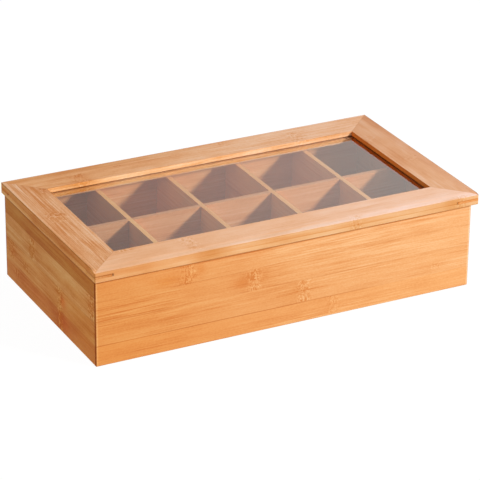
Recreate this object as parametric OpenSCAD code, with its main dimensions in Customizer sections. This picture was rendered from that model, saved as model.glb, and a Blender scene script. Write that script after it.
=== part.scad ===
// Bamboo tea bag organizer box: mitred case with ten compartments and a
// hinged, windowed lid. Millimetres, +Z up, front towards -Y.
// The origin lies on the resting plane, under the middle of the closed box.

/* [Case] */
// Outside length of the case
body_w = 354.4; // [300:0.2:420]
// Outside depth of the case
body_d = 192.6; // [160:0.2:240]
// Height of the case walls
body_h = 79.2; // [60:0.2:110]
// Thickness of the four case walls
wall_t = 9.7; // [8.5:0.1:12]
// Thickness of the bottom panel
bottom_t = 4; // [3:0.5:6]
// Width of the rebate that takes the bottom panel
rebate_w = 5; // [3.5:0.5:6]
// Rounding of the outer vertical corners and lower edges of the case
case_ease = 1.2; // [0.4:0.1:2]

/* [Dividers] */
// Thickness of every divider board
div_t = 4.2; // [3:0.1:6]
// Height of the divider tops above the resting plane
div_top = 78.4; // [55:0.2:105]
// Depth of the wall grooves that hold the divider ends
dado = 2; // [1:0.5:3]

/* [Lid] */
// How far the lid stands past each side wall
side_over = 2.8; // [1:0.2:5]
// How far the lid stands past the front wall, as a finger lip
front_over = 6.4; // [3:0.2:10]
// Thickness of the lid frame
lid_t = 10; // [9:0.2:14]
// Width of the four mitred lid rails
rail_w = 30.6; // [26:0.2:40]
// Rounding of the lid's top edge at the sides and the rear
lid_round = 0.6; // [0.4:0.1:2]
// How far the crowned front edge reaches back over the top
crown_w = 7.5; // [4:0.5:10]
// Radius of the crown along the front edge
crown_r = 22; // [18:1:40]
// Rounding between that crown and the lid's front face
crown_ease = 1.2; // [0.6:0.1:1.5]
// Rounding of the lid's outer lower edge and corners
lid_ease = 0.9; // [0.4:0.1:1]
// Rounding of the edges around the window
inner_ease = 0.4; // [0.2:0.1:1]

/* [Window] */
// Thickness of the clear pane
pane_t = 1.5; // [1:0.1:2]
// Height of the groove that holds the pane
groove_h = 2; // [1.7:0.1:2.4]
// Depth of the groove into the rails
groove_d = 6; // [4:0.5:8]
// Height of the pane's underside above the lid's underside
pane_z = 4.1; // [2.5:0.1:4.4]

/* [Corner splines] */
// Leg of the slots sawn across the left lid corners
slot_left = 16.9; // [16:0.1:24]
// Leg of the splines glued into the left slots
spline_left = 15.4; // [12:0.1:16]
// Leg of the slots sawn across the right lid corners
slot_right = 21.5; // [21.1:0.1:24]
// Leg of the splines glued into the right slots
spline_right = 21; // [12:0.1:21]
// Thickness of the splines
spline_t = 2.4; // [2:0.1:3]
// Height of the splines' lower face above the lid's underside
spline_z = 3.7; // [3:0.1:4.2]

/* [Hinges] */
// Distance of each hinge's middle from the middle of the box
hinge_x = 112; // [90:1:125]
// Width of each hinge
hinge_w = 30; // [26:1:40]
// Thickness of a hinge leaf
leaf_t = 3; // [2.8:0.1:3.2]
// Reach of a leaf from the hinge axis into the mortise
leaf_reach = 8; // [7.4:0.1:8.4]
// Angle at which the bevelled leaf tails would meet
stop_angle = 95.5; // [92:0.5:110]
// Radius of the knuckles
knuckle_r = 1.9; // [1.7:0.1:2]
// Radius of the hinge pin
pin_r = 0.8; // [0.6:0.05:1]

/* [Hidden] */
$fn = 64;

axis_out = 0.4;                                    // hinge axis behind the rear face
bevel = stop_angle / 2;                            // slope of each leaf's bevelled tail
tail = leaf_t / tan(bevel);                        // reach of a tail behind the axis
hinge_out = axis_out + tail;                       // reach of the hinges behind the rear face
total_d = front_over + body_d + hinge_out;         // depth of the closed box with its hinges
y_front = -total_d / 2 + front_over;               // outer face of the front wall
y_rear = y_front + body_d;                         // outer face of the rear wall
y_mid = (y_front + y_rear) / 2;
lid_l = body_w + 2 * side_over;
lid_y0 = y_front - front_over;
lid_y1 = y_rear;
lid_d = lid_y1 - lid_y0;
lid_ym = (lid_y0 + lid_y1) / 2;
in_w = body_w - 2 * wall_t;                        // clear length inside the case
in_d = body_d - 2 * wall_t;                        // clear depth inside the case
pitch = (in_w + div_t) / 5;                        // spacing of the cross dividers
lap_z = (bottom_t + div_top) / 2;                  // height at which the dividers are halved
play = 0.1;                                        // play of a board end in its slot or groove
axis_y = y_rear + axis_out;
axis_z = body_h;
knuckle_gap = 0.3;
knuckle_w = (hinge_w - 2 * knuckle_gap) / 3;
notch_r = knuckle_r + 0.3;                         // clearance around the other leaf's knuckle
leaf_gap = 0.1;                                    // each leaf's distance from the joint plane
screw_y = -4.95;                                   // screw row, measured from the hinge axis
screw_dx = 9;
screw_len = 8;
screw_r = 1.15;
head_r = 2.2;

BAMBOO = [0.86, 0.63, 0.40];
BAMBOO_LIGHT = [0.89, 0.70, 0.50];
BRASS = [0.80, 0.64, 0.32];

// ---- small helpers -------------------------------------------------------

// waste left outside a quarter circle of radius r at corner p, whose solid lies towards s
module ease(p, s, r)
    difference() {
        translate([p[0] - (s[0] > 0 ? 1 : r), p[1] - (s[1] > 0 ? 1 : r)]) square(r + 1);
        translate([p[0] + s[0] * r, p[1] + s[1] * r]) circle(r);
    }

// extrude a profile drawn in (Y, Z) along X, centred
module along_x(len) rotate([90, 0, 90]) linear_extrude(height = len, center = true) children();

// extrude a profile drawn in (X, Z) along Y, centred
module along_y(len) rotate([90, 0, 0]) linear_extrude(height = len, center = true) children();

// upright prism with rounded vertical corners
module rounded_prism(w, d, r, z0, z1)
    translate([0, 0, z0]) linear_extrude(height = z1 - z0) {
        square([w - 2 * r, d], center = true);
        square([w, d - 2 * r], center = true);
        for (i = [-1, 1], j = [-1, 1]) translate([i * (w / 2 - r), j * (d / 2 - r)]) circle(r);
    }

// mitred wedge over one side of a w by d frame: side 0 front, 1 right, 2 rear, 3 left
module mitre_wedge(w, d, t, side, z0, z1) {
    e = 1;
    a = w / 2; b = d / 2;
    pts = side == 0 ? [[-a - e, -b - e], [a + e, -b - e], [a - t - e, -b + t + e], [-a + t + e, -b + t + e]]
        : side == 1 ? [[a + e, -b - e], [a + e, b + e], [a - t - e, b - t - e], [a - t - e, -b + t + e]]
        : side == 2 ? [[a + e, b + e], [-a - e, b + e], [-a + t + e, b - t - e], [a - t - e, b - t - e]]
        : [[-a - e, b + e], [-a - e, -b - e], [-a + t + e, -b + t + e], [-a + t + e, b - t - e]];
    translate([0, 0, z0]) linear_extrude(height = z1 - z0) polygon(pts);
}

// ---- case ----------------------------------------------------------------

// wall profile: u from the outer face inwards, v upwards
module wall_profile()
    difference() {
        square([wall_t, body_h]);
        translate([wall_t - rebate_w, -1]) square([rebate_w + 1, bottom_t + 1]);
        ease([0, 0], [1, 1], case_ease);
        ease([0, body_h], [1, -1], 0.8);
        ease([wall_t, body_h], [-1, -1], 0.8);
    }

module wall_blank(side)
    translate([0, y_mid, 0])
    intersection() {
        if (side == 0) translate([0, -body_d / 2, 0]) along_x(body_w) wall_profile();
        else if (side == 2) mirror([0, 1, 0]) translate([0, -body_d / 2, 0]) along_x(body_w) wall_profile();
        else if (side == 3) translate([-body_w / 2, 0, 0]) along_y(body_d) wall_profile();
        else mirror([1, 0, 0]) translate([-body_w / 2, 0, 0]) along_y(body_d) wall_profile();
        mitre_wedge(body_w, body_d, wall_t, side, -1, body_h + 1);
        rounded_prism(body_w, body_d, case_ease, -1, body_h + 1);
    }

// upright grooves in the front and rear walls for the cross dividers
module cross_dados(y_face, s)
    for (k = [0:3])
        translate([(k - 1.5) * pitch - div_t / 2 - play, s > 0 ? y_face - 1 : y_face - dado, bottom_t])
            cube([div_t + 2 * play, dado + 1, body_h]);

// pilot hole for one hinge screw, along +Z or -Z from the leaf's outer side
module pilot(dir)
    translate([0, 0, dir > 0 ? 0 : -screw_len - 0.1]) cylinder(h = screw_len + 0.1, r = screw_r + 0.05);

module front_panel()
    color(BAMBOO)
    difference() {
        wall_blank(0);
        cross_dados(y_front + wall_t, -1);
    }

module rear_panel()
    color(BAMBOO)
    difference() {
        wall_blank(2);
        cross_dados(y_rear - wall_t, 1);
        for (s = [-1, 1]) translate([s * hinge_x, axis_y, axis_z]) {
            translate([-hinge_w / 2 - 0.15, -leaf_reach - 0.1, -leaf_t]) cube([hinge_w + 0.3, leaf_reach + 5, leaf_t + 5]);
            for (i = [-1, 1]) translate([i * screw_dx, screw_y, 0]) pilot(-1);
        }
    }

module side_dado(x_face, s)
    translate([s > 0 ? x_face - 1 : x_face - dado, y_mid - div_t / 2 - play, bottom_t])
        cube([dado + 1, div_t + 2 * play, body_h]);

module left_panel()
    color(BAMBOO)
    difference() {
        wall_blank(3);
        side_dado(-body_w / 2 + wall_t, -1);
    }

module right_panel()
    color(BAMBOO)
    difference() {
        wall_blank(1);
        side_dado(body_w / 2 - wall_t, 1);
    }

module bottom_panel()
    color(BAMBOO_LIGHT)
    translate([0, y_mid, bottom_t / 2])
        cube([in_w + 2 * rebate_w - 2 * play, in_d + 2 * rebate_w - 2 * play, bottom_t], center = true);

// ---- dividers ------------------------------------------------------------

// runs left to right, slotted from above where the cross dividers pass
module long_divider()
    color(BAMBOO_LIGHT)
    difference() {
        translate([-in_w / 2 - dado + play, y_mid - div_t / 2, bottom_t])
            cube([in_w + 2 * dado - 2 * play, div_t, div_top - bottom_t]);
        for (k = [0:3]) translate([(k - 1.5) * pitch - div_t / 2 - play, y_mid - div_t, lap_z])
            cube([div_t + 2 * play, 2 * div_t, body_h]);
    }

// runs front to rear, slotted from below where the long divider passes
module cross_divider(k)
    color(BAMBOO_LIGHT)
    translate([(k - 1.5) * pitch, 0, 0])
    difference() {
        translate([-div_t / 2, y_front + wall_t - dado + play, bottom_t])
            cube([div_t, in_d + 2 * dado - 2 * play, div_top - bottom_t]);
        translate([-div_t, y_mid - div_t / 2 - play, 0]) cube([2 * div_t, div_t + 2 * play, lap_z]);
    }

module cross_divider_1() cross_divider(0);
module cross_divider_2() cross_divider(1);
module cross_divider_3() cross_divider(2);
module cross_divider_4() cross_divider(3);

// ---- lid -----------------------------------------------------------------

// rail profile: u from the outer edge inwards, v upwards from the underside
module rail_profile()
    difference() {
        square([rail_w, lid_t]);
        translate([rail_w - groove_d, pane_z]) square([groove_d + 1, groove_h]);
        ease([0, lid_t], [1, -1], lid_round);
        ease([0, 0], [1, 1], lid_ease);
        ease([rail_w, lid_t], [-1, -1], inner_ease);
        ease([rail_w, 0], [-1, 1], inner_ease);
    }

// waste above the crowned front edge: u from the front face backwards, v upwards from the underside
crown_v = lid_t - crown_r + sqrt(pow(crown_r - crown_ease, 2) - pow(crown_w - crown_ease, 2));
crown_u = crown_w - (crown_w - crown_ease) * crown_r / (crown_r - crown_ease);
module crown_waste()
    difference() {
        translate([-1, crown_v]) square([crown_w + 1, lid_t + 1 - crown_v]);
        translate([crown_ease, crown_v]) circle(crown_ease);
        intersection() {
            translate([crown_w, lid_t - crown_r]) circle(crown_r, $fn = 256);
            translate([crown_u, 0]) square([crown_w, lid_t + 1]);
        }
    }

// three-cornered plate across a lid corner; i and j give the corner's sign in X and Y
module corner_plate(i, j, leg, t, past)
    translate([i * lid_l / 2, lid_ym + j * lid_d / 2, body_h + spline_z])
        linear_extrude(height = t)
            polygon([[i * past, j * past], [-i * leg, j * past], [-i * leg, 0], [0, -j * leg], [i * past, -j * leg]]);

module rail_blank(side)
    difference() {
        translate([0, lid_ym, body_h])
        intersection() {
            if (side == 0) translate([0, -lid_d / 2, 0]) along_x(lid_l) rail_profile();
            else if (side == 2) mirror([0, 1, 0]) translate([0, -lid_d / 2, 0]) along_x(lid_l) rail_profile();
            else if (side == 3) translate([-lid_l / 2, 0, 0]) along_y(lid_d) rail_profile();
            else mirror([1, 0, 0]) translate([-lid_l / 2, 0, 0]) along_y(lid_d) rail_profile();
            mitre_wedge(lid_l, lid_d, rail_w, side, -1, lid_t + 1);
            rounded_prism(lid_l, lid_d, lid_ease, -1, lid_t + 1);
        }
        for (i = [-1, 1], j = [-1, 1])
            if ((side == 0 && j < 0) || (side == 2 && j > 0) || (side == 1 && i > 0) || (side == 3 && i < 0))
                corner_plate(i, j, i < 0 ? slot_left : slot_right, spline_t, 1);
        if (side != 2) translate([0, lid_y0, body_h]) along_x(lid_l + 4) crown_waste();
    }

module lid_rail_front() color(BAMBOO) rail_blank(0);
module lid_rail_right() color(BAMBOO) rail_blank(1);
module lid_rail_left() color(BAMBOO) rail_blank(3);

module lid_rail_rear()
    color(BAMBOO)
    difference() {
        rail_blank(2);
        for (s = [-1, 1]) translate([s * hinge_x, axis_y, axis_z]) {
            translate([-hinge_w / 2 - 0.15, -leaf_reach - 0.1, -5]) cube([hinge_w + 0.3, leaf_reach + 5, leaf_t + 5]);
            for (i = [-1, 1]) translate([i * screw_dx, screw_y, 0]) pilot(1);
        }
    }

module spline(i, j)
    color(BAMBOO_LIGHT)
    intersection() {
        corner_plate(i, j, i < 0 ? spline_left : spline_right, spline_t, 1);
        translate([0, lid_ym, 0]) rounded_prism(lid_l, lid_d, lid_ease, body_h, body_h + lid_t);
    }

module spline_front_left() spline(-1, -1);
module spline_front_right() spline(1, -1);
module spline_rear_left() spline(-1, 1);
module spline_rear_right() spline(1, 1);

module window_pane()
    color([0.85, 0.9, 0.92, 0.35])
    translate([0, lid_ym, body_h + pane_z + pane_t / 2])
        cube([lid_l - 2 * rail_w + 2 * groove_d - 2, lid_d - 2 * rail_w + 2 * groove_d - 2, pane_t], center = true);

// ---- hinges --------------------------------------------------------------

// leaf profile in (Y, Z) from the hinge axis, hanging below the joint plane
module leaf_profile()
    polygon([[-leaf_reach, -leaf_gap], [leaf_gap / tan(bevel), -leaf_gap], [tail, -leaf_t], [-leaf_reach, -leaf_t]]);

// knuckle barrel spanning x0 to x1
module barrel(x0, x1, r) translate([x0, 0, 0]) rotate([0, 90, 0]) cylinder(h = x1 - x0, r = r);

// countersunk hole in a leaf, opening upwards at the joint plane
module countersink() {
    translate([0, 0, -leaf_t - 1]) cylinder(h = leaf_t + 1, r = screw_r + 0.05);
    rotate_extrude() polygon([[0, 1], [head_r + 0.15, 1], [head_r + 0.15, -0.15], [screw_r + 0.05, -1.3], [0, -1.3]]);
}

// lower leaf: outer = true carries the two outer knuckles, false the middle one
module leaf(outer) {
    a = hinge_w / 2;
    m = knuckle_w / 2;
    difference() {
        union() {
            difference() {
                along_x(hinge_w) leaf_profile();
                if (outer) barrel(-m - knuckle_gap, m + knuckle_gap, notch_r);
                else {
                    barrel(-a - 1, -m - knuckle_gap + knuckle_gap, notch_r);
                    barrel(m, a + 1, notch_r);
                }
            }
            if (outer) {
                barrel(-a, -m - knuckle_gap, knuckle_r);
                barrel(m + knuckle_gap, a, knuckle_r);
            }
            else barrel(-m, m, knuckle_r);
        }
        barrel(-a - 2, a + 2, pin_r + 0.05);
        for (i = [-1, 1]) translate([i * screw_dx, screw_y, 0]) countersink();
    }
}

module body_leaf(s) color(BRASS) translate([s * hinge_x, axis_y, axis_z]) leaf(true);
module lid_leaf(s) color(BRASS) translate([s * hinge_x, axis_y, axis_z]) mirror([0, 0, 1]) leaf(false);
module pin(s)
    color(BRASS)
    translate([s * hinge_x, axis_y, axis_z]) rotate([0, 90, 0]) rotate_extrude()
        polygon([[0, -hinge_w / 2], [pin_r - 0.2, -hinge_w / 2], [pin_r, -hinge_w / 2 + 0.2],
                 [pin_r, hinge_w / 2 - 0.2], [pin_r - 0.2, hinge_w / 2], [0, hinge_w / 2]]);

module hinge_left_body_leaf() body_leaf(-1);
module hinge_right_body_leaf() body_leaf(1);
module hinge_left_lid_leaf() lid_leaf(-1);
module hinge_right_lid_leaf() lid_leaf(1);
module hinge_left_pin() pin(-1);
module hinge_right_pin() pin(1);

// countersunk screw, head at the joint plane, point downwards
module screw()
    difference() {
        rotate_extrude()
            polygon([[0, -0.2], [head_r, -0.2], [screw_r, -1.25], [screw_r, -screw_len + 1.4], [0.15, -screw_len], [0, -screw_len]]);
        for (q = [0, 90]) rotate([0, 0, q]) translate([-1.2, -0.25, -0.85]) cube([2.4, 0.5, 1]);
    }

module body_hinge_screws()
    color(BRASS)
    for (s = [-1, 1], i = [-1, 1]) translate([s * hinge_x + i * screw_dx, axis_y + screw_y, axis_z]) screw();

module lid_hinge_screws()
    color(BRASS)
    for (s = [-1, 1], i = [-1, 1]) translate([s * hinge_x + i * screw_dx, axis_y + screw_y, axis_z]) mirror([0, 0, 1]) screw();

front_panel();
rear_panel();
left_panel();
right_panel();
bottom_panel();
long_divider();
cross_divider_1();
cross_divider_2();
cross_divider_3();
cross_divider_4();
lid_rail_front();
lid_rail_rear();
lid_rail_left();
lid_rail_right();
spline_front_left();
spline_front_right();
spline_rear_left();
spline_rear_right();
window_pane();
hinge_left_body_leaf();
hinge_left_lid_leaf();
hinge_left_pin();
hinge_right_body_leaf();
hinge_right_lid_leaf();
hinge_right_pin();
body_hinge_screws();
lid_hinge_screws();
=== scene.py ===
import math
import random

import bpy
import numpy as np
from mathutils import Matrix, Vector


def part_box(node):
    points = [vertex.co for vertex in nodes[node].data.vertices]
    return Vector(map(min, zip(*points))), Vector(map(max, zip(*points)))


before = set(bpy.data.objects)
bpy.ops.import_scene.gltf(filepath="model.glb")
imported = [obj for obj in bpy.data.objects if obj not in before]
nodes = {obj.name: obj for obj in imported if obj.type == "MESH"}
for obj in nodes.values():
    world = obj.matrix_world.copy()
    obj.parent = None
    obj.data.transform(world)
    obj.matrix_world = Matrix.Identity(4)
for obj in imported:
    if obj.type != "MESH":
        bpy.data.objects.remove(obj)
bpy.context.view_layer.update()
scene = bpy.context.scene

MM = 0.001


# ---------------------------------------------------------------- node helpers
class Tree:
    def __init__(self, name):
        self.mat = bpy.data.materials.new(name)
        self.mat.use_nodes = True
        self.nt = self.mat.node_tree
        self.nt.nodes.clear()
        self.out = self.nt.nodes.new("ShaderNodeOutputMaterial")

    def link(self, a, b):
        self.nt.links.new(a, b)

    def put(self, socket, v):
        if isinstance(v, bpy.types.NodeSocket):
            self.link(v, socket)
        else:
            socket.default_value = v

    def math(self, op, a, b=0.0, c=0.0, clamp=False):
        n = self.nt.nodes.new("ShaderNodeMath")
        n.operation = op
        n.use_clamp = clamp
        self.put(n.inputs[0], a)
        self.put(n.inputs[1], b)
        self.put(n.inputs[2], c)
        return n.outputs[0]

    def add(self, *vs):
        r = vs[0]
        for v in vs[1:]:
            r = self.math("ADD", r, v)
        return r

    def mul(self, a, b):
        return self.math("MULTIPLY", a, b)

    def sub(self, a, b):
        return self.math("SUBTRACT", a, b)

    def ramp01(self, v, lo, hi, a=0.0, b=1.0):
        n = self.nt.nodes.new("ShaderNodeMapRange")
        n.interpolation_type = "SMOOTHSTEP"
        self.put(n.inputs[0], v)
        for i, x in enumerate((lo, hi, a, b)):
            n.inputs[i + 1].default_value = x
        return n.outputs[0]

    def xyz(self, x, y, z):
        n = self.nt.nodes.new("ShaderNodeCombineXYZ")
        for i, v in enumerate((x, y, z)):
            self.put(n.inputs[i], v)
        return n.outputs[0]

    def noise(self, vec, scale=1.0, detail=2.0, rough=0.5, distortion=0.0):
        n = self.nt.nodes.new("ShaderNodeTexNoise")
        n.noise_dimensions = "3D"
        self.link(vec, n.inputs["Vector"])
        n.inputs["Scale"].default_value = scale
        n.inputs["Detail"].default_value = detail
        n.inputs["Roughness"].default_value = rough
        n.inputs["Distortion"].default_value = distortion
        return n.outputs[0]

    def white(self, vec):
        n = self.nt.nodes.new("ShaderNodeTexWhiteNoise")
        n.noise_dimensions = "3D"
        self.link(vec, n.inputs["Vector"])
        return n.outputs["Value"]

    def mix(self, fac, a, b, blend="MIX"):
        n = self.nt.nodes.new("ShaderNodeMix")
        n.data_type = "RGBA"
        n.blend_type = blend
        self.put(n.inputs[0], fac)
        self.put(n.inputs[6], a)
        self.put(n.inputs[7], b)
        return n.outputs[2]

    def ramp(self, fac, stops):
        n = self.nt.nodes.new("ShaderNodeValToRGB")
        el = n.color_ramp.elements
        while len(el) < len(stops):
            el.new(0.5)
        for e, (p, c) in zip(el, stops):
            e.position = p
            e.color = (c[0], c[1], c[2], 1)
        self.put(n.inputs[0], fac)
        return n.outputs[0]

    def bump(self, height, strength, distance):
        n = self.nt.nodes.new("ShaderNodeBump")
        n.inputs["Strength"].default_value = strength
        n.inputs["Distance"].default_value = distance
        self.link(height, n.inputs["Height"])
        return n.outputs[0]


ONE = (1, 1, 1)


def tint(c, k, sat=1.0):
    m = (c[0] + c[1] + c[2]) / 3
    return tuple(max(0.0, (m + (v - m) * sat) * k) for v in c)


def scaled(c, k):
    return tuple(a * b for a, b in zip(c, k))


def bamboo(name, grain, stack, seed, base, strips=None, fade=None, knots=(), bands=(), edge=None, amp=1.0, cloud=1.0,
           rough=0.42, level=0.25, mitre=None, lines=1.0, smear_at=0.005, spots=(), edge_fade=(1, 1, 1), edge_level=0.03,
           edge_amp=1.0, glue_k=0.55):
    """Laminated bamboo. grain and stack are axis letters: strips run along grain and lie side by side along stack.
    strips: list of (upper limit along stack, colour factor); fade: (axis, from, to, colour factor at the far end);
    knots: (place along grain, place along stack, half width along stack, strength, half length); bands: colour factors over a
    range of one axis, which may run out along another; edge: colour of the faces that look along stack."""
    t = Tree(name)
    tc = t.nt.nodes.new("ShaderNodeTexCoord")
    sep = t.nt.nodes.new("ShaderNodeSeparateXYZ")
    t.link(tc.outputs["Object"], sep.inputs[0])
    sen = t.nt.nodes.new("ShaderNodeSeparateXYZ")
    t.link(tc.outputs["Normal"], sen.inputs[0])
    ax = {"X": sep.outputs[0], "Y": sep.outputs[1], "Z": sep.outputs[2]}
    nx = {"X": sen.outputs[0], "Y": sen.outputs[1], "Z": sen.outputs[2]}
    third = [a for a in "XYZ" if a not in (grain, stack)][0]
    g, s, d = ax[grain], ax[stack], ax[third]
    rnd = random.Random(seed)
    o = [rnd.uniform(-50, 50) for _ in range(16)]

    # fibres wander a little along their length
    wob = t.noise(t.xyz(t.add(t.mul(g, 8.0), o[0]), t.mul(s, 24.0), o[1]), 1.0, 2.0, 0.5)
    ws = t.add(s, t.mul(t.sub(wob, 0.5), 0.0006))

    def fib(kg, ks, off, detail=1.0, r=0.5):
        return t.noise(t.xyz(t.add(t.mul(g, kg), o[off]), t.add(t.mul(ws, ks), o[off + 1]), t.mul(d, ks)), 1.0, detail, r)

    broad = fib(4.0, 70.0, 2, 1.0)
    medium = fib(7.0, 210.0, 3, 1.5)
    fine = fib(9.0, 520.0, 4, 1.5, 0.6)
    hair = fib(28.0, 1150.0, 5, 1.5, 0.6)
    mottle = t.noise(t.xyz(t.add(t.mul(g, 18.0), o[6]), t.mul(s, 50.0), t.mul(d, 50.0)), 1.0, 3.0, 0.6)
    grit = t.noise(t.xyz(t.add(t.mul(g, 520.0), o[7]), t.mul(s, 900.0), t.mul(d, 900.0)), 1.0, 1.0, 0.5)

    # knots: a ragged zone across the fibres, speckled, with the colour drawn out beside it
    jit = t.mul(t.sub(t.noise(t.xyz(t.mul(g, 40.0), t.add(t.mul(s, 210.0), o[8]), t.mul(d, 210.0)), 1.0, 2.0, 0.6), 0.5), 0.010)
    speck = t.noise(t.xyz(t.add(t.mul(g, 560.0), o[9]), t.mul(s, 330.0), t.mul(d, 330.0)), 1.0, 2.0, 0.6, 0.8)
    core = smear = None
    for (kg, kc, kw, ks, *kl) in knots:
        dg = t.add(t.sub(g, kg), jit)
        dc = t.mul(t.math("ABSOLUTE", t.sub(s, kc)), 1 / kw)
        win = t.ramp01(dc, 0.90, 1.12, 1.0, 0.0)
        a = t.math("EXPONENT", t.mul(t.math("POWER", t.math("ABSOLUTE", t.mul(dg, 1 / (kl[0] if kl else 0.0058))), 2.6), -1.0))
        b = t.math("EXPONENT", t.mul(t.math("ABSOLUTE", t.mul(t.add(dg, smear_at), 1 / 0.013)), -1.0))
        a = t.mul(t.mul(a, win), ks)
        b = t.mul(t.mul(b, win), ks)
        core = a if core is None else t.math("MAXIMUM", core, a)
        smear = b if smear is None else t.math("MAXIMUM", smear, b)

    # the streaks stand out in some places and fade in others
    zone = t.noise(t.xyz(t.add(t.mul(g, 7.0), o[13]), t.mul(s, 34.0), t.mul(d, 34.0)), 1.0, 1.0, 0.5)
    zone = t.ramp01(zone, 0.30, 0.70, 0.45, 1.65)
    streak = t.add(
        t.mul(t.sub(broad, 0.5), 0.48 * amp),
        t.mul(t.sub(medium, 0.5), 0.36 * amp),
        t.mul(t.sub(fine, 0.5), 0.66 * amp),
        t.mul(t.sub(hair, 0.5), 1.00 * amp),
    )
    v = t.add(
        0.5,
        t.mul(streak, zone),
        t.mul(t.sub(mottle, 0.5), 0.72 * cloud),
        t.mul(t.sub(grit, 0.5), 0.48 * amp),
    )
    # a few long dark fibres
    ves = fib(9.0, 520.0, 10, 1.0)
    vmark = t.ramp01(ves, 0.66, 0.76)
    v = t.sub(v, t.mul(vmark, 0.20 * lines))
    if core is not None:
        v = t.sub(v, t.mul(smear, t.ramp01(medium, 0.38, 0.62, 0.05, 0.30)))
        v = t.add(v, t.mul(core, t.mul(t.sub(speck, 0.49), 3.6)))
    if edge:
        side = t.ramp01(t.math("ABSOLUTE", nx[stack]), 0.45, 0.75)
        v = t.add(0.5, t.mul(t.sub(v, 0.5), t.add(1.0, t.mul(side, edge_amp - 1.0))))
    v = t.math("MINIMUM", t.math("MAXIMUM", v, 0.0), 1.0)

    def faded(c, fc):
        return t.mix(t.ramp01(ax[fade[0]], fade[1], fade[2]), (*c, 1), (*scaled(c, fc), 1)) if fade else (*c, 1)

    base_s = faded(base, fade[3] if fade else ONE)
    if edge:
        base_s = t.mix(side, base_s, faded(edge, edge_fade))
    lo = t.mix(1.0, base_s, (0.82, 0.60, 0.33, 1), "MULTIPLY")
    hi = t.mix(1.0, base_s, (1.10, 1.38, 1.85, 1), "MULTIPLY")
    down = t.math("MULTIPLY", t.sub(0.5, v), 2.0, clamp=True)
    upw = t.math("MULTIPLY", t.sub(v, 0.5), 2.0, clamp=True)
    col = t.mix(down, base_s, lo)
    col = t.mix(upw, col, hi)
    glue = None
    if strips:
        below = None
        for (lim, c) in strips:
            m = t.math("LESS_THAN", s, lim) if below is None else t.mul(t.math("LESS_THAN", s, lim), t.math("GREATER_THAN", s, below))
            if c != (1, 1, 1):
                col = t.mix(m, col, t.mix(1.0, col, (*c, 1), "MULTIPLY"))
            if lim < 1:
                g1 = t.ramp01(t.math("ABSOLUTE", t.sub(s, lim)), 0.0002, 0.0007, 1.0, 0.0)
                glue = g1 if glue is None else t.math("MAXIMUM", glue, g1)
            below = lim
    if glue is not None:
        part = t.ramp01(t.noise(t.xyz(t.mul(g, 26.0), t.mul(s, 40.0), o[12]), 1.0, 2.0, 0.5), 0.40, 0.62)
        glue = t.mul(glue, part)
        col = t.mix(t.mul(glue, glue_k), col, t.mix(1.0, col, (0.80, 0.66, 0.48, 1), "MULTIPLY"))
    for b in bands:
        (a, p, q, c, soft), rest = b[:5], b[5:]
        m = t.mul(t.ramp01(ax[a], p - soft, p + soft), t.ramp01(ax[a], q - soft, q + soft, 1.0, 0.0))
        if rest:
            a2, p2, q2 = rest
            m = t.mul(m, t.ramp01(ax[a2], p2, q2, 1.0, 0.0) if p2 < q2 else t.ramp01(ax[a2], q2, p2))
        col = t.mix(m, col, t.mix(1.0, col, (*c, 1), "MULTIPLY"))
    for (sg, sc, lg, ls, c) in spots:
        # patch of changed colour, drawn out along the fibres: mostly stains, but the pale one along the front lid
        # rail's edge is a painted highlight: (along, across, half length, half width, colour factor)
        e1 = t.math("POWER", t.mul(t.sub(g, sg), 1 / lg), 2.0)
        e2 = t.math("POWER", t.mul(t.sub(ws, sc), 1 / ls), 2.0)
        m = t.math("EXPONENT", t.mul(t.add(e1, e2), -1.0))
        m = t.mul(m, t.ramp01(fine, 0.30, 0.62, 0.45, 1.0))
        col = t.mix(m, col, t.mix(1.0, col, (*c, 1), "MULTIPLY"))
    if mitre:
        # colour bands where two boards meet at a corner: glue drawn dark into the wood along the joint, and on the
        # front panel also a lighter band beside it: (cx, cy, hx, hy, from, to, soft, factor, reach)
        for (cx, cy, hx, hy, m0, m1, soft, c, reach) in mitre:
            u = t.sub(hx, t.math("ABSOLUTE", t.sub(ax["X"], cx)))
            w = t.sub(hy, t.math("ABSOLUTE", t.sub(ax["Y"], cy)))
            dist = t.math("ABSOLUTE", t.sub(u, w))
            m = t.mul(t.ramp01(dist, m0 - soft, m0 + soft), t.ramp01(dist, m1 - soft, m1 + soft, 1.0, 0.0)) if m0 > 0 \
                else t.ramp01(dist, m1 - soft, m1 + soft, 1.0, 0.0)
            near = t.ramp01(t.math("MINIMUM", u, w), reach, reach + 0.001, 1.0, 0.0)
            col = t.mix(t.mul(m, near), col, t.mix(1.0, col, (*c, 1), "MULTIPLY"))

    ro = t.add(rough, t.mul(t.sub(medium, 0.5), -0.10), t.mul(t.sub(fine, 0.5), -0.14), t.mul(vmark, 0.08))
    if core is not None:
        ro = t.add(ro, t.mul(core, 0.06))
    h = t.add(t.mul(fine, 0.5), t.mul(hair, 0.3), t.mul(vmark, -0.35))
    if glue is not None:
        h = t.sub(h, t.mul(glue, 0.5))
    if core is not None:
        h = t.add(h, t.mul(core, t.mul(speck, 0.9)))
    normal = t.bump(h, 0.35, 0.00012)

    def lacquer(lev):
        bsdf = t.nt.nodes.new("ShaderNodeBsdfPrincipled")
        t.link(col, bsdf.inputs["Base Color"])
        t.link(ro, bsdf.inputs["Roughness"])
        t.link(normal, bsdf.inputs["Normal"])
        bsdf.inputs["IOR"].default_value = 1.48
        bsdf.inputs["Specular IOR Level"].default_value = lev
        return bsdf.outputs[0]

    if not edge:
        t.link(lacquer(level), t.out.inputs["Surface"])
    else:
        # the faces sawn across the boards' edges take up the lacquer and stay duller
        mx = t.nt.nodes.new("ShaderNodeMixShader")
        t.link(side, mx.inputs[0])
        t.link(lacquer(level), mx.inputs[1])
        t.link(lacquer(edge_level), mx.inputs[2])
        t.link(mx.outputs[0], t.out.inputs["Surface"])
    return t.mat


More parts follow.
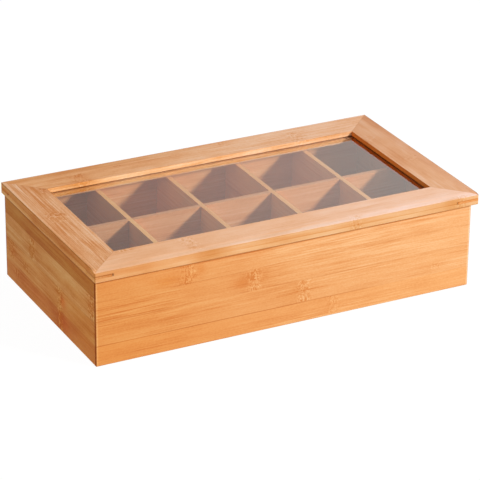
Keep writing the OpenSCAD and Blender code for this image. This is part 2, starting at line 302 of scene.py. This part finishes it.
def clear_pane(name):
    t = Tree(name)
    fres = t.nt.nodes.new("ShaderNodeFresnel")
    fres.inputs["IOR"].default_value = 1.5
    geo = t.nt.nodes.new("ShaderNodeNewGeometry")
    tc = t.nt.nodes.new("ShaderNodeTexCoord")
    smudge = t.noise(tc.outputs["Object"], 24.0, 4.0, 0.6)
    # both faces reflect; the inner one is counted with the outer
    twice = t.math("DIVIDE", t.mul(fres.outputs[0], 2.0), t.add(1.0, fres.outputs[0]))
    fac = t.mul(twice, t.sub(1.0, geo.outputs["Backfacing"]))
    glossy = t.nt.nodes.new("ShaderNodeBsdfAnisotropic")
    glossy.inputs["Color"].default_value = (1, 1, 1, 1)
    t.link(t.add(0.015, t.mul(t.ramp01(smudge, 0.45, 0.75), 0.03)), glossy.inputs["Roughness"])
    tr = t.nt.nodes.new("ShaderNodeBsdfTransparent")
    tr.inputs["Color"].default_value = (0.985, 0.99, 0.988, 1)
    mx = t.nt.nodes.new("ShaderNodeMixShader")
    t.link(fac, mx.inputs[0])
    t.link(tr.outputs[0], mx.inputs[1])
    t.link(glossy.outputs[0], mx.inputs[2])
    t.link(mx.outputs[0], t.out.inputs["Surface"])
    return t.mat


def brass(name, base, rough, seed):
    t = Tree(name)
    tc = t.nt.nodes.new("ShaderNodeTexCoord")
    sep = t.nt.nodes.new("ShaderNodeSeparateXYZ")
    t.link(tc.outputs["Object"], sep.inputs[0])
    x, y, z = sep.outputs
    tarn = t.noise(t.xyz(t.add(t.mul(x, 90.0), seed), t.mul(y, 90.0), t.mul(z, 90.0)), 1.0, 4.0, 0.6)
    brush = t.noise(t.xyz(t.add(t.mul(x, 120.0), seed), t.mul(y, 3200.0), t.mul(z, 3200.0)), 1.0, 2.0, 0.5)
    col = t.ramp(tarn, [(0.25, tint(base, 0.62, 1.05)), (0.5, base), (0.8, tint(base, 1.15, 0.92))])
    bsdf = t.nt.nodes.new("ShaderNodeBsdfPrincipled")
    t.link(col, bsdf.inputs["Base Color"])
    bsdf.inputs["Metallic"].default_value = 1.0
    t.link(t.add(rough, t.mul(t.sub(tarn, 0.5), -0.25), t.mul(t.sub(brush, 0.5), 0.18)), bsdf.inputs["Roughness"])
    t.link(t.bump(t.add(t.mul(brush, 0.6), t.mul(tarn, 0.4)), 0.25, 0.00005), bsdf.inputs["Normal"])
    t.link(bsdf.outputs[0], t.out.inputs["Surface"])
    return t.mat


def wear(node, mat):
    o = nodes[node]
    o.data.materials.clear()
    o.data.materials.append(mat)


# ---------------------------------------------------------------- sizes from the frame
lo_f, hi_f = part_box("front_panel")
lo_r, hi_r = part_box("rear_panel")
Y0, Y1 = lo_f.y, hi_r.y                     # outer faces of the case, front and rear
YM = (Y0 + Y1) / 2
HX = 0.1772                                 # half length of the case
HY = (Y1 - Y0) / 2
H = 0.0792
L0, L1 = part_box("lid_rail_front")[0].y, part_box("lid_rail_rear")[1].y
LM = (L0 + L1) / 2
LX = 0.18
RW = 0.0306

# ---------------------------------------------------------------- materials
CASE = (0.524, 0.1985, 0.0430)
SIDE = (0.575, 0.235, 0.058)
TOP_FRONT = (0.880, 0.500, 0.285)
TOP_REAR = (0.793, 0.382, 0.155)
TOP_LEFT = (0.785, 0.405, 0.196)
TOP_RIGHT = (0.708, 0.338, 0.158)
EDGE = (0.575, 0.268, 0.102)
EDGE_B = (0.755, 0.400, 0.170)
EDGE_L = (0.565, 0.216, 0.049)
# EDGE_R is brighter and redder than the other edge colours; in part this is painted light, standing in for light that
# the right rail's shaded inner face lacks
EDGE_R = (0.960, 0.290, 0.052)
INNER = (0.800, 0.370, 0.150)
INNER_LONG = (0.705, 0.314, 0.124)
INNER_CROSS = [(0.970, 0.500, 0.165), (0.900, 0.445, 0.152), (0.890, 0.445, 0.152), (0.850, 0.425, 0.150)]

STAIN = (0.62, 0.42, 0.26)
front_mitre = [(0.0, YM, HX, HY, 0, 0.0004, 0.0002, STAIN, 0.002), (0.0, YM, HX, HY, 0.0007, 0.0019, 0.0003, (1.12, 1.34, 1.85), 0.0004)]
left_mitre = [(0.0, YM, HX, HY, 0, 0.0019, 0.0006, (0.52, 0.34, 0.22), 0.0012)]
plain_mitre = [(0.0, YM, HX, HY, 0, 0.0006, 0.0003, STAIN, 0.003)]
lid_mitre = [(0.0, LM, LX, (L1 - L0) / 2, 0, 0.0003, 0.0002, (0.88, 0.80, 0.72), 0.5)]


def some_knots(seed, lo, hi, c, w, n):
    r = random.Random(seed)
    span = (hi - lo) / max(1, n)
    return [(lo + span * (i + r.uniform(0.15, 0.85)), r.choice(c), w, r.uniform(0.5, 0.9)) for i in range(n)]


wear("front_panel", bamboo("bamboo_front", "X", "Z", 11, CASE,
     strips=[(0.0185, (1.01, 0.97, 0.87)), (0.0395, (1.0, 1.0, 0.99)), (0.0585, (1.0, 1.01, 1.02)), (1, (1.0, 1.02, 1.05))],
     # painted light: the fade makes the panel paler towards its right end, standing in for the brighter light and
     # sheen there
     fade=("X", -0.19, 0.10, (1.09, 1.37, 2.35)),
     knots=[(-0.0935, 0.0665, 0.0085, 1.0, 0.0074), (-0.0327, 0.0490, 0.0095, 1.0, 0.0064), (0.0148, 0.0290, 0.0100, 0.85, 0.0064),
            (0.0428, 0.0105, 0.0080, 0.55), (0.1430, 0.0255, 0.0030, 0.5)], amp=0.85, cloud=0.75,
     # painted shadow: the band from z 75.1 mm up darkens the panel's top edge where the lid's overhanging lip shades
     # it
     bands=[("Z", 0.0182, 0.0188, (0.82, 0.66, 0.44), 0.0003, "X", 0.02, 0.12), ("Z", 0.0751, 1, (0.74, 0.58, 0.36), 0.0004),
            ("X", HX - 0.0006, 1, (0.72, 0.66, 0.62), 0.0003)],
     spots=[(-0.1130, 0.0650, 0.014, 0.005, (0.95, 0.80, 0.54)), (-0.0820, 0.0690, 0.004, 0.005, (0.93, 0.78, 0.56)),
            (-0.0930, 0.0640, 0.008, 0.008, (0.99, 0.93, 0.84)), (-0.0440, 0.0480, 0.009, 0.005, (0.92, 0.74, 0.50)), (-0.0230, 0.0500, 0.005, 0.007, (0.96, 0.88, 0.76)),
            (0.0020, 0.0275, 0.010, 0.007, (0.96, 0.90, 0.78))],
     mitre=front_mitre))
wear("rear_panel", bamboo("bamboo_rear", "X", "Z", 12, (0.770, 0.355, 0.132),
     strips=[(0.0198, ONE), (0.0396, (0.97, 0.93, 0.88)), (0.0594, (1.02, 1.05, 1.1)), (1, ONE)],
     knots=[(-0.12, 0.030, 0.009, 0.9), (-0.03, 0.069, 0.009, 1.0), (0.045, 0.010, 0.009, 0.9), (0.118, 0.050, 0.009, 1.0)],
     mitre=plain_mitre, amp=0.6, lines=0.4, glue_k=0.25))
wear("left_panel", bamboo("bamboo_left", "Y", "Z", 13, SIDE,
     # the top strip's dark factor is partly the strip's own tone and partly painted shade under the lid's overhang
     strips=[(0.0190, (0.95, 0.79, 0.64)), (0.0392, (1.0, 0.99, 0.93)), (0.0617, (1.01, 1.11, 1.26)), (1, (0.76, 0.62, 0.31))],
     fade=("Y", 0.09, -0.09, (1.07, 1.03, 0.90)),
     knots=[(0.0379, 0.0505, 0.0100, 1.5, 0.0066), (0.0829, 0.0310, 0.0085, 1.1), (-0.0871, 0.0505, 0.0105, 1.5),
            (-0.0208, 0.0290, 0.0105, 1.7), (-0.0215, 0.0100, 0.0095, 1.7), (0.0529, 0.0270, 0.0040, 0.9), (0.0730, 0.0130, 0.0040, 0.9)],
     # painted shadow: the band from z 75.5 mm up darkens the panel just under the lid's overhang
     bands=[("Z", -1, 0.0390, (0.98, 0.92, 0.76), 0.001, "Y", -0.085, 0.000), ("Z", 0.0392, 0.0617, (1.05, 1.10, 1.22), 0.0004, "Y", -0.090, 0.000), ("Z", 0.0755, 1, (0.62, 0.48, 0.36), 0.0006),
            ("Y", Y1 - 0.0012, Y1 + 0.01, (0.55, 0.45, 0.40), 0.0004)],
     spots=[(-0.0275, 0.0295, 0.006, 0.006, (1.03, 0.70, 0.44)), (-0.0300, 0.0105, 0.011, 0.008, (1.02, 0.76, 0.52)),
            (0.0790, 0.0290, 0.012, 0.007, (0.97, 0.84, 0.70)), (0.0330, 0.0500, 0.010, 0.008, (0.97, 0.90, 0.80)),
            (-0.0860, 0.0520, 0.006, 0.010, (0.97, 0.82, 0.64)), (0.0300, 0.0120, 0.030, 0.005, (0.98, 0.88, 0.80)),
            (-0.0600, 0.0480, 0.030, 0.006, (1.0, 0.95, 0.82))],
     mitre=left_mitre, level=0.02, amp=0.92, cloud=2.2, smear_at=0.0))
wear("right_panel", bamboo("bamboo_right", "Y", "Z", 14, scaled(SIDE, (0.9, 0.9, 0.9)),
     strips=[(0.0198, ONE), (0.0396, (0.95, 0.90, 0.85)), (0.0594, (1.02, 1.06, 1.1)), (1, (0.97, 0.92, 0.86))],
     knots=[(-0.055, 0.069, 0.009, 0.9), (0.005, 0.030, 0.009, 1.0), (0.06, 0.050, 0.009, 0.8)], mitre=plain_mitre))
wear("bottom_panel", bamboo("bamboo_bottom", "X", "Y", 15, INNER,
     strips=[(YM - 0.0615, ONE), (YM - 0.0410, (0.97, 0.94, 0.90)), (YM - 0.0205, ONE), (YM, (1.02, 1.05, 1.08)),
             (YM + 0.0205, (0.98, 0.95, 0.92)), (YM + 0.0410, ONE), (YM + 0.0615, (1.02, 1.04, 1.06)), (1, ONE)],
     knots=some_knots(15, -0.17, 0.17, [YM - 0.07, YM - 0.03, YM + 0.01, YM + 0.05], 0.009, 6)))
wear("long_divider", bamboo("bamboo_long_divider", "X", "Z", 21, INNER_LONG, strips=[(0.0285, ONE), (0.053, (0.97, 0.95, 0.92)), (1, ONE)],
     knots=[(-0.090, 0.016, 0.010, 0.7), (0.01, 0.040, 0.010, 0.6), (0.14, 0.016, 0.010, 0.6)], amp=0.85, lines=0.6, cloud=0.9))
for i in range(4):
    wear("cross_divider_%d" % (i + 1), bamboo("bamboo_cross_divider_%d" % (i + 1), "Y", "Z", 31 + i, INNER_CROSS[i],
         strips=[(0.0285, ONE), (0.053, (0.98, 0.96, 0.94)), (1, ONE)],
         knots=[(random.Random(40 + i).uniform(-0.07, 0.07), 0.016 + 0.024 * (i % 2), 0.010, 0.6)], amp=0.5, lines=0.4, cloud=0.6))

low_layer = ("Z", 0.0, H + 0.0040, (1.03, 1.10, 1.18), 0.0004)
# painted shade on the lid's underside and the lowest 0.1 mm of its edges
underside_painted_shade = ("Z", 0.0, H + 0.0001, (0.80, 0.74, 0.68), 0.0002)
# painted shade on the rear rail's inner face below the pane, where its lower lip sits in shadow
rear_lip_painted_shade = ("Z", 0.0, H + 0.0050, (0.98, 0.88, 0.70), 0.0004, "Y", L1 - RW + 0.0005, L1 - RW + 0.0012)
low_layer_l = ("Z", 0.0, H + 0.0044, (1.08, 1.26, 1.55), 0.0006)
# painted light: the fade makes the front rail's top paler towards the right end, standing in for the brighter light
# and sheen there; edge_fade makes its front and inner faces slightly darker towards the right
wear("lid_rail_front", bamboo("bamboo_rail_front", "X", "Y", 51, TOP_FRONT, fade=("X", -0.17, 0.19, (0.99, 1.06, 1.26)), edge=EDGE,
     edge_fade=(0.93, 0.97, 1.0),
     knots=[(-0.0870, L0 + 0.0168, 0.0120, 0.55, 0.0068), (-0.1412, L0 + RW - 0.0025, 0.002, 0.9), (0.0600, L0 + 0.0030, 0.0035, 0.5),
            (0.1640, L0 + 0.0010, 0.0030, 0.4)],
     bands=[low_layer, underside_painted_shade, ("Z", H + 0.0040, H + 0.0048, (0.90, 0.80, 0.64), 0.0003, "X", -0.02, -0.07),
            # painted light on the front edge: the first band darkens the front 5 mm of the rail, front face included,
            # as painted shade; the second paints a pale highlight over that strip right of x = -0.06 m; the third
            # lightens the front face and arris as a painted highlight
            ("Y", -1, L0 + 0.0050, (0.84, 0.84, 0.84), 0.0022), ("Y", -1, L0 + 0.0050, (1.06, 1.16, 1.30), 0.0022, "X", -0.06, -0.15),
            ("Y", -1, L0 + 0.0004, (1.10, 1.06, 1.02), 0.0004)],
     # the second spot, pale and running along the front edge, is a painted highlight; the others are stains
     spots=[(-0.0750, L0, 0.016, 0.002, (0.86, 0.72, 0.52)), (0.0000, L0 + 0.0030, 0.070, 0.003, (0.98, 1.07, 1.18)), (0.1550, L0, 0.010, 0.003, (0.90, 0.78, 0.60)),
            (-0.1200, L0 + 0.0120, 0.030, 0.007, (0.99, 0.96, 0.92))],
     mitre=lid_mitre, amp=0.38, lines=0.3, cloud=1.2, smear_at=0.0, edge_amp=1.1))
# painted light: the fade and edge_fade make the rear rail paler towards the right end, standing in for the brighter
# light and sheen there
wear("lid_rail_rear", bamboo("bamboo_rail_rear", "X", "Y", 52, TOP_REAR, fade=("X", -0.17, 0.19, (1.04, 1.18, 1.60)), edge=EDGE_B,
     edge_fade=(0.99, 1.06, 1.35),
     knots=[(-0.1155, L1 - 0.0215, 0.0095, 0.7, 0.0066), (0.0312, L1 - 0.0060, 0.0050, 0.5), (0.0975, L1 - 0.0200, 0.0110, 0.6, 0.0072),
            (-0.0725, L1 - 0.0110, 0.0012, 0.8)],
     bands=[rear_lip_painted_shade, underside_painted_shade, ("Y", L1 - 0.0085, L1 + 0.01, (0.92, 0.84, 0.70), 0.0007, "X", -0.08, 0.05),
            ("Y", L1 - 0.0008, L1 + 0.01, (0.74, 0.66, 0.60), 0.0004)],
     spots=[(-0.1150, L1 - 0.0220, 0.007, 0.008, (0.95, 0.84, 0.70)), (0.0980, L1 - 0.0200, 0.009, 0.010, (0.95, 0.87, 0.78)),
            (0.0320, L1 - 0.0060, 0.006, 0.005, (0.95, 0.86, 0.76)), (-0.0600, L1 - 0.0115, 0.035, 0.0012, (0.93, 0.84, 0.72))],
     mitre=lid_mitre, amp=0.92, lines=0.8, cloud=1.7, smear_at=0.0))
wear("lid_rail_left", bamboo("bamboo_rail_left", "Y", "X", 53, TOP_LEFT, edge=EDGE_L, edge_level=0.02,
     fade=("Y", -0.02, -0.10, ONE), edge_fade=(1.17, 1.24, 1.28),
     knots=[(L1 - 0.0837, -0.1650, 0.0090, 1.5, 0.0045), (L1 - 0.0940, -0.1660, 0.0070, 0.6), (L1 - 0.0310, -0.1535, 0.0030, 1.4)],
     bands=[low_layer_l, underside_painted_shade, ("X", -0.2, -0.1763, (1.03, 1.06, 1.08), 0.0003), ("X", -0.1763, -0.1725, (0.96, 0.89, 0.80), 0.0003),
            ("X", -0.1765, -0.1760, (0.88, 0.78, 0.66), 0.0002)],
     spots=[(L1 - 0.0310, -0.1530, 0.005, 0.0028, (0.86, 0.66, 0.44)), (L1 - 0.0825, -0.1655, 0.003, 0.008, (0.90, 0.76, 0.58)),
            (L1 - 0.0915, -0.1660, 0.006, 0.006, (1.04, 1.09, 1.15)), (0.0230, -LX, 0.006, 0.0015, (0.92, 0.78, 0.60)),
            (-0.0300, -LX, 0.015, 0.0015, (0.95, 0.84, 0.68)), (-0.0870, -LX, 0.006, 0.0015, (0.92, 0.78, 0.60))],
     mitre=lid_mitre, amp=1.35, level=0.15, cloud=1.6, smear_at=0.0, edge_amp=1.3))
# painted light: the fade makes the right rail paler towards its front end, standing in for the brighter light and
# sheen there
wear("lid_rail_right", bamboo("bamboo_rail_right", "Y", "X", 54, TOP_RIGHT, fade=("Y", 0.09, -0.09, (1.07, 1.17, 1.30)), edge=EDGE_R,
     knots=[(L1 - 0.0510, 0.1569, 0.0060, 0.6), (L1 - 0.1070, 0.1656, 0.0080, 0.4)],
     bands=[("X", 0.1720, 0.3, (0.96, 0.92, 0.90), 0.002), ("X", LX - 0.0010, 0.3, (0.74, 0.66, 0.62), 0.0004),
            # painted shade: the next band darkens the inner face below the pane, where the lower lip sits in shadow,
            # and the one after darkens the inside of the pane's groove
            ("Z", 0.0, H + 0.0052, (0.62, 0.32, 0.20), 0.0003, "X", LX - RW + 0.0005, LX - RW + 0.0012),
            ("Z", H + 0.0037, H + 0.0060, (0.90, 0.50, 0.30), 0.0001, "X", LX - RW + 0.0066, LX - RW + 0.0070),
            ("X", LX - 0.0006, 1, (0.62, 0.84, 1.40), 0.0002, "Z", H + 0.0098, H + 0.0100), underside_painted_shade], mitre=lid_mitre, amp=0.48, lines=0.4, cloud=1.8, edge_amp=0.5))
for k, n in enumerate(("spline_front_left", "spline_front_right", "spline_rear_left", "spline_rear_right")):
    zs = H + 0.0037
    left = "left" in n
    front_only = ("Y", L0 + 0.0004, L0 + 0.0010)
    near_end = ("X", -1, LX - 0.0195, (0.80, 0.66, 0.48), 0.0008)
    # glue shows dark along the slot, more so on the left
    wear(n, bamboo("bamboo_" + n, "Y", "X", 61 + k, scaled(EDGE, (0.82, 0.68, 0.52) if left else (0.93, 0.85, 0.74)),
         edge=scaled(EDGE_L, (0.98, 0.92, 0.86)), edge_level=0.02,
         bands=[("Z", zs + 0.0016, 1, (0.64, 0.50, 0.38) if left else (0.84, 0.74, 0.62), 0.0004) + front_only,
                ("Z", 0, zs + 0.0003, (0.84, 0.74, 0.60), 0.0003) + front_only] + ([] if left else [near_end]), level=0.03))

wear("window_pane", clear_pane("window_clear"))
hinge_mat = brass("hinge_brass_worn", (0.72, 0.50, 0.20), 0.30, 3.0)
pin_mat = brass("hinge_pin_steel_brass", (0.70, 0.52, 0.27), 0.26, 9.0)
screw_mat = brass("screw_brass_worn", (0.66, 0.47, 0.22), 0.36, 17.0)
for n in ("hinge_left_body_leaf", "hinge_left_lid_leaf", "hinge_right_body_leaf", "hinge_right_lid_leaf"):
    wear(n, hinge_mat)
for n in ("hinge_left_pin", "hinge_right_pin"):
    wear(n, pin_mat)
for n in ("body_hinge_screws", "lid_hinge_screws"):
    wear(n, screw_mat)

# sanded arrises on the divider boards and the bottom
for n in ["long_divider", "bottom_panel"] + ["cross_divider_%d" % i for i in range(1, 5)]:
    b = nodes[n].modifiers.new("sanded_edges", "BEVEL")
    b.width = 0.4 * MM
    b.segments = 2
    b.limit_method = "ANGLE"
    b.angle_limit = math.radians(50)
    b.harden_normals = False

# ---------------------------------------------------------------- stage
bpy.ops.mesh.primitive_plane_add(size=14, location=(0, 0, 0))
floor = bpy.context.object
floor.name = "floor"
ft = Tree("floor_pale")
fb = ft.nt.nodes.new("ShaderNodeBsdfPrincipled")
fb.inputs["Base Color"].default_value = (0.035, 0.035, 0.035, 1)
fb.inputs["Emission Color"].default_value = (1, 1, 1, 1)
fb.inputs["Emission Strength"].default_value = 0.975
fb.inputs["Roughness"].default_value = 0.9
fb.inputs["Specular IOR Level"].default_value = 0.2
ft.link(fb.outputs[0], ft.out.inputs["Surface"])
floor.data.materials.append(ft.mat)

# soft key light from the right front, about 25 degrees up
L = Vector((1.25, -1.79, 1.0)).normalized()
KEY_D = 2.5
key = bpy.data.lights.new("key", "AREA")
key.shape = "DISK"
key.size = 0.32
key.energy = 67.0
key.color = (1.0, 0.985, 0.96)
ko = bpy.data.objects.new("key", key)
ko.location = Vector((0, YM, 0.05)) + L * KEY_D
ko.rotation_euler = (-L).to_track_quat("-Z", "Y").to_euler()
scene.collection.objects.link(ko)

# surroundings: a bright wall of light behind and to the right, dim to the left
world = bpy.data.worlds.new("studio")
scene.world = world
world.use_nodes = True
wt = world.node_tree
wt.nodes.clear()
wout = wt.nodes.new("ShaderNodeOutputWorld")
bg = wt.nodes.new("ShaderNodeBackground")
tcw = wt.nodes.new("ShaderNodeTexCoord")
sp = wt.nodes.new("ShaderNodeSeparateXYZ")
wt.links.new(tcw.outputs["Generated"], sp.inputs[0])


def wm(op, a, b=0.0):
    n = wt.nodes.new("ShaderNodeMath")
    n.operation = op
    for i, v in enumerate((a, b)):
        if isinstance(v, bpy.types.NodeSocket):
            wt.links.new(v, n.inputs[i])
        else:
            n.inputs[i].default_value = v
    return n.outputs[0]


def wr(v, a, b, c, d, kind="SMOOTHSTEP"):
    n = wt.nodes.new("ShaderNodeMapRange")
    n.interpolation_type = kind
    wt.links.new(v, n.inputs[0])
    for i, x in enumerate((a, b, c, d)):
        n.inputs[i + 1].default_value = x
    return n.outputs[0]


# angle from the direction that the window mirrors at the middle of the picture, positive to the left
MIRROR_AZ = math.radians(62.6)
ca, sa = math.cos(MIRROR_AZ), math.sin(MIRROR_AZ)
along = wm("ADD", wm("MULTIPLY", sp.outputs[0], ca), wm("MULTIPLY", sp.outputs[1], sa))
across = wm("ADD", wm("MULTIPLY", sp.outputs[0], -sa), wm("MULTIPLY", sp.outputs[1], ca))
ang = wm("MULTIPLY", wm("ARCTAN2", across, along), 180 / math.pi)
wall = wr(ang, -6.5, 8.5, 1.27, 0.20, "LINEAR")
left_dim = wr(ang, 12.0, 80.0, 0.0, -0.02)
right_dim = wr(ang, -120.0, -30.0, -0.70, 0.0)
zen = wr(sp.outputs[2], 0.50, 0.85, 1.0, 0.75)
# low fill from the left
fill = wm("MULTIPLY", wr(sp.outputs[0], -0.9, -0.4, 0.62, 0.0), wr(sp.outputs[2], 0.30, 0.60, 1.0, 0.0))
rad = wm("ADD", wm("ADD", wall, left_dim), right_dim)
rad = wm("ADD", wm("MULTIPLY", wm("MAXIMUM", rad, 0.16), zen), fill)
wt.links.new(rad, bg.inputs["Strength"])
bg.inputs["Color"].default_value = (1.0, 0.955, 0.905, 1)
wt.links.new(bg.outputs[0], wout.inputs[0])

# ---------------------------------------------------------------- camera
AZ, EL, ROLL, DIST, FOC = -27.224, 25.021, 0.681, 2.1850, 2516.9
a, e, r = (math.radians(v) for v in (AZ, EL, ROLL))
target = Vector((0.001235, YM - 0.003262, 0.0396))
back = Vector((math.sin(a) * math.cos(e), -math.cos(a) * math.cos(e), math.sin(e)))
right = Vector((0, 0, 1)).cross(back).normalized()
up = back.cross(right)
R1 = right * math.cos(r) + up * math.sin(r)
U1 = -right * math.sin(r) + up * math.cos(r)
cam = bpy.data.cameras.new("camera")
cam.sensor_width = 36
cam.lens = FOC / 480 * 36
cam.clip_start, cam.clip_end = 0.05, 50
co = bpy.data.objects.new("camera", cam)
pos = target + back * DIST
m = Matrix((R1, U1, back)).transposed().to_4x4()
m.translation = pos
co.matrix_world = m
scene.collection.objects.link(co)
scene.camera = co

scene.view_settings.view_transform = "Standard"
scene.view_settings.look = "None"
scene.view_settings.exposure = 0.0
scene.view_settings.gamma = 1.0
